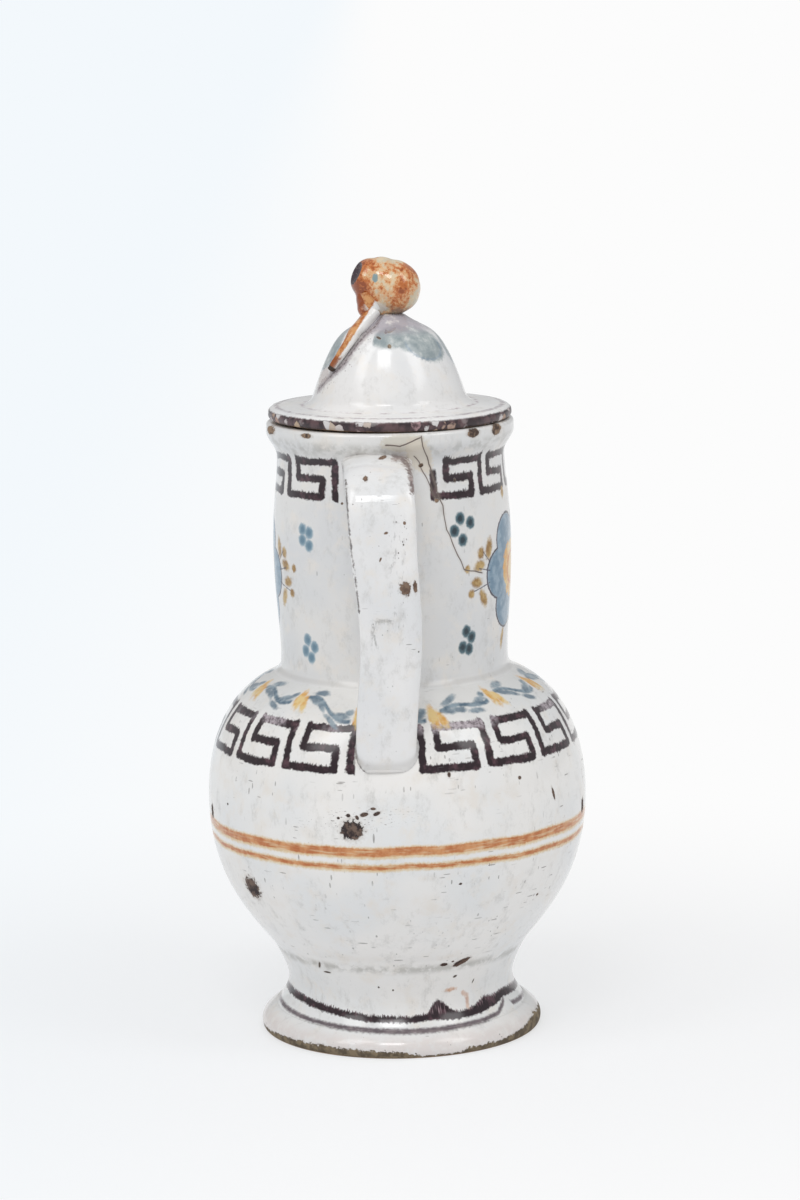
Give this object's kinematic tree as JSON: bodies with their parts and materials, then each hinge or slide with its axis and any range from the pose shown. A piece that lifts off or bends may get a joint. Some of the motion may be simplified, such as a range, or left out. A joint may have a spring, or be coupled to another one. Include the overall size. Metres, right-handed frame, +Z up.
{
  "type": "lidded two-handled vase",
  "caption": "Footed earthenware vase with a round belly, tall collar, strap handles, and a lift-off domed lid with a fruit knob.",
  "frame": {"origin": "centre of the foot's standing ring, on the surface that the vase stands on", "axes": "+Z up along the vase's axis; the two handles lie on +X and -X, and the painted faces look along +Y and -Y"},
  "size_m": [0.1554, 0.1468, 0.3001],
  "materials": {
    "foot_glaze": "glossy greyish-white tin glaze over buff clay, purple-brown lines, standing edge worn to the clay",
    "body_glaze": "glossy greyish-white tin glaze, painted key band in purple-brown and two orange bands, small chips",
    "neck_glaze": "glossy greyish-white tin glaze, painted key band, blue and ochre flower sprays, hairline cracks",
    "strap_glaze": "plain greyish-white tin glaze with pinholes and small chips",
    "ring_clay": "unglazed buff clay, matt",
    "lid_glaze": "glossy greyish-white tin glaze, blue-grey leaf patches, purple-brown rim edge with chips",
    "fruit_glaze": "glossy glaze mottled rust-orange over cream, dark purple-brown blossom end",
    "twig_glaze": "glossy white glaze with an ochre-orange brushed side"
  },
  "bodies": {
    "vase": {"foot": "foot_glaze", "belly": "body_glaze", "neck": "neck_glaze", "handle_right": "strap_glaze", "handle_left": "strap_glaze"},
    "lid_ring": {"lid_locating_ring": "ring_clay"},
    "lid": {"lid": "lid_glaze", "knob_fruit": "fruit_glaze", "knob_twig": "twig_glaze"}
  },
  "joints": [
    {"name": "lid_lift", "type": "slide", "parent": "vase", "child": "lid_ring", "axis": [0, 0, 1], "range_m": [0, 0.12]},
    {"name": "lid_turn", "type": "hinge", "parent": "lid_ring", "child": "lid", "pos_m": [0, 0, 0.2385], "axis": [0, 0, 1], "continuous": true}
  ]
}
